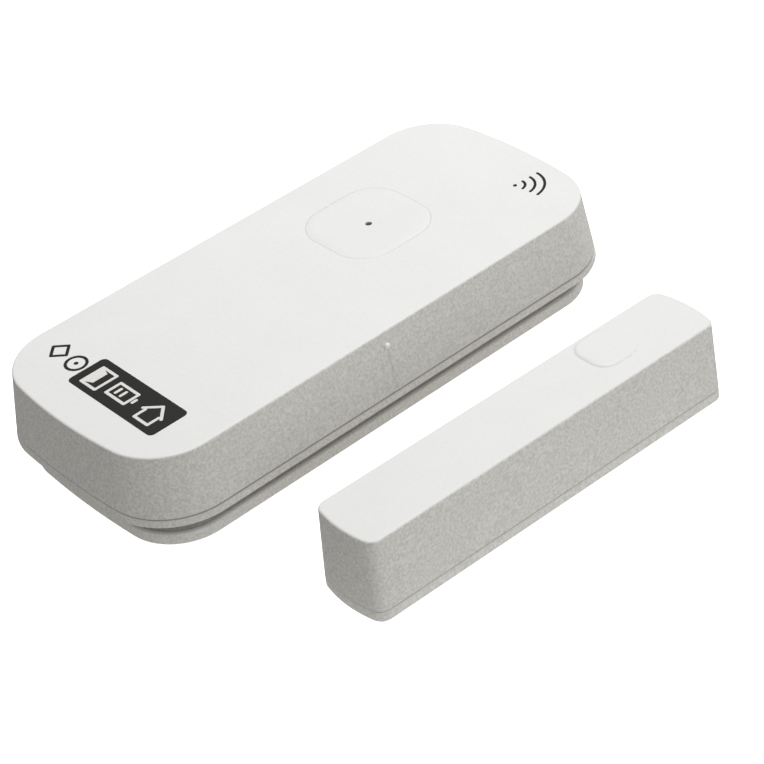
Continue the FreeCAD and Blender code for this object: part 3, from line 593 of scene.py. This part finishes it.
def alignment_dot():
    """The glossy dome over the raised dot above the side's alignment line, coloured paler than the shell
    as a painted highlight.
    """
    surface = Surface("dot_gloss_painted_highlight", 0.22)
    cover = surface.noise(0.1 * MM, 3.0)
    # Paler than the shell: painted highlight on the dot. Its low roughness and coat are real gloss.
    surface.colour(surface.mix(cover, (0.86, 0.86, 0.85), (0.93, 0.93, 0.92)))
    surface.roughness(surface.fit(cover, LOW_NOISE, HIGH_NOISE, 0.18, 0.28))
    surface.bump(cover, 0.001 * MM)
    surface.set("Coat Weight", 0.5)
    shape = bmesh.new()
    half_turn = math.acos(1.0 - DOT_RISE / DOT_RADIUS)
    rings = []
    for step in range(1, DOT_RINGS + 1):
        turn = half_turn * step / DOT_RINGS
        height = DOT_RISE - DOT_RADIUS * (1.0 - math.cos(turn))
        points = disc((0, 0), DOT_RADIUS * math.sin(turn))
        rings.append([shape.verts.new((x, y, height)) for x, y in points])
    for upper, lower in zip(rings, rings[1:]):
        for here in range(len(upper)):
            after = (here + 1) % len(upper)
            shape.faces.new((lower[here], lower[after], upper[after], upper[here])).smooth = True
    shape.faces.new(rings[0]).smooth = True
    shape.faces.new(reversed(rings[-1]))
    bmesh.ops.transform(shape, matrix=side_frame(DOT_PLACE), verts=shape.verts)
    ride_sensor("alignment_dot", shape, [surface.material])


alignment_line()
alignment_dot()

# ---------------------------------------------------------------- small parts on the main board
BOARD_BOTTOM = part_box("main_board")[0].z
BOARD_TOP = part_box("main_board")[1].z
CHIP_LENGTH = 1.6 * MM
CHIP_WIDTH = 0.8 * MM
CHIP_HEIGHT = 0.5 * MM
CHIP_END = 0.3 * MM
CHIP_BEVEL = 0.05 * MM
CERAMIC_SLOT = 0
TIN_SLOT = 1
SOLDER_FOOT = 0.75 * MM
SOLDER_RISE = 0.45 * MM
SOLDER_TIP = 0.3 * MM
SOLDER_HOLLOW = 1.8
SOLDER_SHARES = (0.0, 0.15, 0.35, 0.6, 0.85, 1.0)
LEAD_PLACES = [(-11.4, -12.8), (8.6, -12.8)]
TAIL_PLACES = [(12.95, 7.4), (12.95, -3.4)]
TAIL_STRETCH = 1.5
CHIPS_ALONG_X = [(-18.5, -11.2), (-18.5, -13.9), (15.6, -6.4),
                 (15.6, -8.1), (21.4, -6.4), (24.6, -6.6)]
CHIPS_ALONG_Y = [(-15.2, -12.5), (17.2, -13.2), (23.8, -10.4), (14.2, 5.9)]


def add_block(shape, low, high, material_index):
    """Adds a block with softened edges between two corners."""
    middle = (Vector(low) + Vector(high)) / 2
    size = Vector(high) - Vector(low)
    place = Matrix.Translation(middle) @ Matrix.Diagonal((*size, 1.0))
    block = bmesh.ops.create_cube(shape, size=1.0, matrix=place)
    edges = list({edge for vertex in block["verts"] for edge in vertex.link_edges})
    rounded = bmesh.ops.bevel(
        shape, geom=edges, offset=CHIP_BEVEL, segments=2, profile=0.5, affect="EDGES"
    )
    faces = {face for vertex in rounded["verts"] for face in vertex.link_faces}
    for face in faces:
        face.material_index = material_index


def chip_parts():
    """Chip resistors and capacitors: a ceramic body between two tinned ends."""
    shape = bmesh.new()
    places = [(x, y, (1, 0)) for x, y in CHIPS_ALONG_X] + [(x, y, (0, 1)) for x, y in CHIPS_ALONG_Y]
    for x, y, (along_x, along_y) in places:
        half_x = (CHIP_LENGTH * along_x + CHIP_WIDTH * along_y) / 2
        half_y = (CHIP_LENGTH * along_y + CHIP_WIDTH * along_x) / 2
        end_x = CHIP_END * along_x
        end_y = CHIP_END * along_y
        low = (x * MM - half_x, y * MM - half_y)
        high = (x * MM + half_x, y * MM + half_y)
        body_low = (low[0] + end_x, low[1] + end_y, BOARD_TOP + CHIP_BEVEL)
        body_high = (high[0] - end_x, high[1] - end_y, BOARD_TOP + CHIP_HEIGHT - CHIP_BEVEL)
        add_block(shape, body_low, body_high, CERAMIC_SLOT)
        reach_x = end_x or 2 * half_x
        reach_y = end_y or 2 * half_y
        near_high = (low[0] + reach_x, low[1] + reach_y, BOARD_TOP + CHIP_HEIGHT)
        far_low = (high[0] - reach_x, high[1] - reach_y, BOARD_TOP)
        add_block(shape, (*low, BOARD_TOP), near_high, TIN_SLOT)
        add_block(shape, far_low, (*high, BOARD_TOP + CHIP_HEIGHT), TIN_SLOT)
    ends = metal("chip_end_tin", (0.75, 0.75, 0.73), (0.6, 0.6, 0.58), 0.35)
    ride_sensor("board_chip_parts", shape, [dark_plastic("chip_ceramic"), ends])


def add_solder(shape, x, y, base, up, stretch):
    """Adds a solder joint: a hollow-sided cone round a lead, on the board's upper or lower face."""
    rings = []
    for share in SOLDER_SHARES:
        radius = SOLDER_FOOT * (1.0 - share) ** SOLDER_HOLLOW + SOLDER_TIP * share
        height = base + up * SOLDER_RISE * share
        places = [(x * MM + px, y * MM + py * stretch, height) for px, py in disc((0, 0), radius)]
        rings.append([shape.verts.new(place) for place in places])
    for lower, upper in zip(rings, rings[1:]):
        for here in range(len(lower)):
            after = (here + 1) % len(lower)
            shape.faces.new((lower[here], lower[after], upper[after], upper[here])).smooth = True
    shape.faces.new(rings[0])
    shape.faces.new(rings[-1])


def solder_joints():
    """Solder at the reed leads and at the contact tails, on both faces of the board."""
    shape = bmesh.new()
    for places, stretch in ((LEAD_PLACES, 1.0), (TAIL_PLACES, TAIL_STRETCH)):
        for x, y in places:
            add_solder(shape, x, y, BOARD_TOP, 1, stretch)
            add_solder(shape, x, y, BOARD_BOTTOM, -1, stretch)
    bmesh.ops.recalc_face_normals(shape, faces=shape.faces)
    solder = metal("solder_tin", (0.78, 0.78, 0.77), (0.62, 0.62, 0.61), 0.22)
    ride_sensor("board_solder_joints", shape, [solder])


chip_parts()
solder_joints()

# ---------------------------------------------------------------- stage, light and camera
CAMERA_AZIMUTH = -36.32
CAMERA_ELEVATION = 36.90
CAMERA_ROLL = -8.59
CAMERA_DISTANCE = 306.56 * MM
CAMERA_TARGET = Vector((2.25, -9.28, 0.0)) * MM
CAMERA_LENS = 113.6
CAMERA_SHIFT = (0.0045, 0.0022)
CAMERA_CLIP = 10.0 * MM
STAGE_REACH = 3.0
DOME_SIDES = 48
DOME_RINGS = 24
DOME_GLOW = 1.0
PAPER_SHADE = 0.95
PAPER_STEP = 0.02
PAPER_GRAIN = 1.0 * MM
FLOOR_GLOW = 0.9
CARD_DROP = 0.01 * MM
CARD_SHADE = 0.8
CARD_GLOW = 0.25
CARD_DIM_SHARE = 0.52
CARD_DIM_X = -48.0 * MM
CARD_LIT_X = -22.0 * MM
SURROUND_COLOUR = (1.0, 0.985, 0.955, 1.0)
SURROUND_LEVEL = 0.36


def add_camera():
    """The camera on its sphere round the target, rolled a little."""
    azimuth = math.radians(CAMERA_AZIMUTH)
    elevation = math.radians(CAMERA_ELEVATION)
    level_reach = math.cos(elevation)
    back = Vector(
        (math.sin(azimuth) * level_reach, -math.cos(azimuth) * level_reach, math.sin(elevation))
    )
    level = back.to_track_quat("Z", "Y").to_matrix().to_4x4()
    data = bpy.data.cameras.new("camera")
    data.lens = CAMERA_LENS
    data.shift_x, data.shift_y = CAMERA_SHIFT
    data.clip_start = CAMERA_CLIP
    camera = bpy.data.objects.new("camera", data)
    camera.matrix_world = (
        Matrix.Translation(CAMERA_TARGET + back * CAMERA_DISTANCE) @ level
        @ Matrix.Rotation(math.radians(CAMERA_ROLL), 4, "Z")
    )
    bpy.context.scene.collection.objects.link(camera)
    bpy.context.scene.camera = camera


def add_stage_piece(name, mesh, material, seen_by_camera):
    """A floor, card or backdrop that either only the camera sees or only the light does."""
    mesh.materials.append(material)
    piece = bpy.data.objects.new(name, mesh)
    bpy.context.scene.collection.objects.link(piece)
    piece.visible_camera = seen_by_camera
    piece.visible_diffuse = not seen_by_camera
    piece.visible_glossy = not seen_by_camera
    piece.visible_transmission = False
    return piece


def square(name, reach, height):
    """A level square round the origin."""
    mesh = bpy.data.meshes.new(name)
    corners = [(-reach, -reach), (reach, -reach), (reach, reach), (-reach, reach)]
    mesh.from_pydata([(x, y, height) for x, y in corners], [], [(0, 1, 2, 3)])
    return mesh


def paper(name, shade, glow):
    """White paper with a fine grain, as a Surface. Its glow keeps the shadows on it pale."""
    surface = Surface(name, 0.9)
    grain = surface.noise(PAPER_GRAIN, 2.0)
    surface.colour(surface.mix(grain, (shade - PAPER_STEP,) * 3, (shade,) * 3))
    surface.roughness(surface.fit(grain, LOW_NOISE, HIGH_NOISE, 0.85, 0.95))
    surface.set("Emission Color", (1.0, 1.0, 1.0, 1.0))
    surface.set("Emission Strength", glow)
    surface.set("Specular IOR Level", 0.0)
    return surface


def bounce_paper():
    """Glowing paper that dims to grey beyond the object's -X end."""
    surface = paper("card_paper", CARD_SHADE, CARD_GLOW)
    lit = surface.fit(surface.along("X"), CARD_DIM_X, CARD_LIT_X, CARD_DIM_SHARE, 1.0)
    surface.colour(surface.mix(lit, (0.0, 0.0, 0.0), (CARD_SHADE,) * 3))
    surface.link(surface.math("MULTIPLY", lit, CARD_GLOW), surface.shader.inputs["Emission Strength"])
    return surface.material


def add_stage():
    """A floor and a dome that only the camera sees, and a card that only throws light up."""
    floor_paper = paper("floor_paper", PAPER_SHADE, FLOOR_GLOW).material
    add_stage_piece("floor", square("floor", STAGE_REACH, 0.0), floor_paper, True)
    card = square("bounce_card", STAGE_REACH, -CARD_DROP)
    add_stage_piece("bounce_card", card, bounce_paper(), False)
    dome = bpy.data.meshes.new("backdrop")
    shape = bmesh.new()
    bmesh.ops.create_uvsphere(shape, u_segments=DOME_SIDES, v_segments=DOME_RINGS, radius=STAGE_REACH)
    shape.to_mesh(dome)
    shape.free()
    dome_paper = paper("backdrop_paper", PAPER_SHADE, DOME_GLOW).material
    backdrop = add_stage_piece("backdrop", dome, dome_paper, True)
    backdrop.visible_shadow = False


def add_softbox(name, direction, distance, size, power):
    """A square softbox that shines on the object from a direction."""
    data = bpy.data.lights.new(name, "AREA")
    data.shape = "SQUARE"
    data.size = size
    data.energy = power
    lamp = bpy.data.objects.new(name, data)
    towards = Vector(direction).normalized()
    lamp.location = towards * distance
    lamp.rotation_euler = towards.to_track_quat("Z", "Y").to_euler()
    bpy.context.scene.collection.objects.link(lamp)


def add_surround():
    """An even dim light from all sides."""
    world = bpy.data.worlds.new("surround")
    world.use_nodes = True
    world.node_tree.nodes["Background"].inputs["Color"].default_value = SURROUND_COLOUR
    world.node_tree.nodes["Background"].inputs["Strength"].default_value = SURROUND_LEVEL
    bpy.context.scene.world = world


add_camera()
add_stage()
add_surround()
add_softbox("key", direction=(0.31, 0.15, 0.9), distance=0.42, size=0.11, power=1.13)
add_softbox("front", direction=(-0.25, -0.9, 0.3), distance=0.5, size=0.3, power=0.33)
add_softbox("front_right", direction=(0.6, -0.7, 0.3), distance=0.7, size=0.4, power=0.42)
bpy.context.scene.view_settings.view_transform = "Standard"
